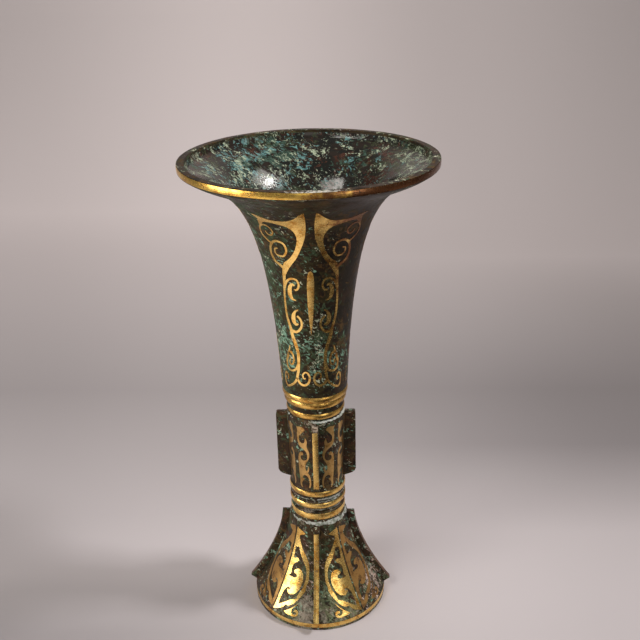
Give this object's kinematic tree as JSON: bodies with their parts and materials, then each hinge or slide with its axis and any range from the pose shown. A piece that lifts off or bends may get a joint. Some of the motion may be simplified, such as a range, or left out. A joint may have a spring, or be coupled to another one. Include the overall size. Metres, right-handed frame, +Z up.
{
  "type": "bronze gu vase",
  "caption": "Tall trumpet-mouthed bronze gu vase with a flanged middle section, a flared flanged foot, and gold bands and scrolls laid into dark patinated bronze.",
  "frame": {"origin": "centre of the foot ring's underside, on the surface that the vase stands on", "axes": "+Z up along the vase's axis to the mouth, -Y out of the front panel, +X to the viewer's right"},
  "size_m": [0.146, 0.146, 0.3],
  "materials": {
    "bronze": "dark patinated bronze with green and brown speckle",
    "gold": "worn satin gold inlay"
  },
  "bodies": {
    "root": {"neck": "bronze", "middle_section": "bronze", "foot": "bronze", "floor_disc": "bronze", "lip_band": "gold", "collar_band_upper": "gold", "collar_band_middle": "gold", "collar_band_lower": "gold", "middle_base_band": "gold", "stem_ring_band": "gold", "foot_collar_band": "gold", "foot_rim_band": "gold", "middle_flange_strip_1": "gold", "middle_flange_strip_2": "gold", "middle_flange_strip_3": "gold", "middle_flange_strip_4": "gold", "foot_flange_strip_1": "gold", "foot_flange_strip_2": "gold", "foot_flange_strip_3": "gold", "foot_flange_strip_4": "gold", "neck_scroll_1_right": "gold", "neck_scroll_1_left": "gold", "neck_spindle_1": "gold", "neck_scroll_2_right": "gold", "neck_scroll_2_left": "gold", "neck_spindle_2": "gold", "neck_scroll_3_right": "gold", "neck_scroll_3_left": "gold", "neck_spindle_3": "gold", "middle_scroll_1_right": "gold", "middle_scroll_1_left": "gold", "middle_scroll_2_right": "gold", "middle_scroll_2_left": "gold", "middle_scroll_3_right": "gold", "middle_scroll_3_left": "gold", "middle_scroll_4_right": "gold", "middle_scroll_4_left": "gold", "foot_scroll_1_right": "gold", "foot_scroll_1_left": "gold", "foot_scroll_2_right": "gold", "foot_scroll_2_left": "gold", "foot_scroll_3_right": "gold", "foot_scroll_3_left": "gold", "foot_scroll_4_right": "gold", "foot_scroll_4_left": "gold", "foot_leaf_1_right": "gold", "foot_leaf_1_left": "gold", "foot_leaf_2_right": "gold", "foot_leaf_2_left": "gold", "foot_leaf_3_right": "gold", "foot_leaf_3_left": "gold", "foot_leaf_4_right": "gold", "foot_leaf_4_left": "gold"}
  },
  "joints": []
}
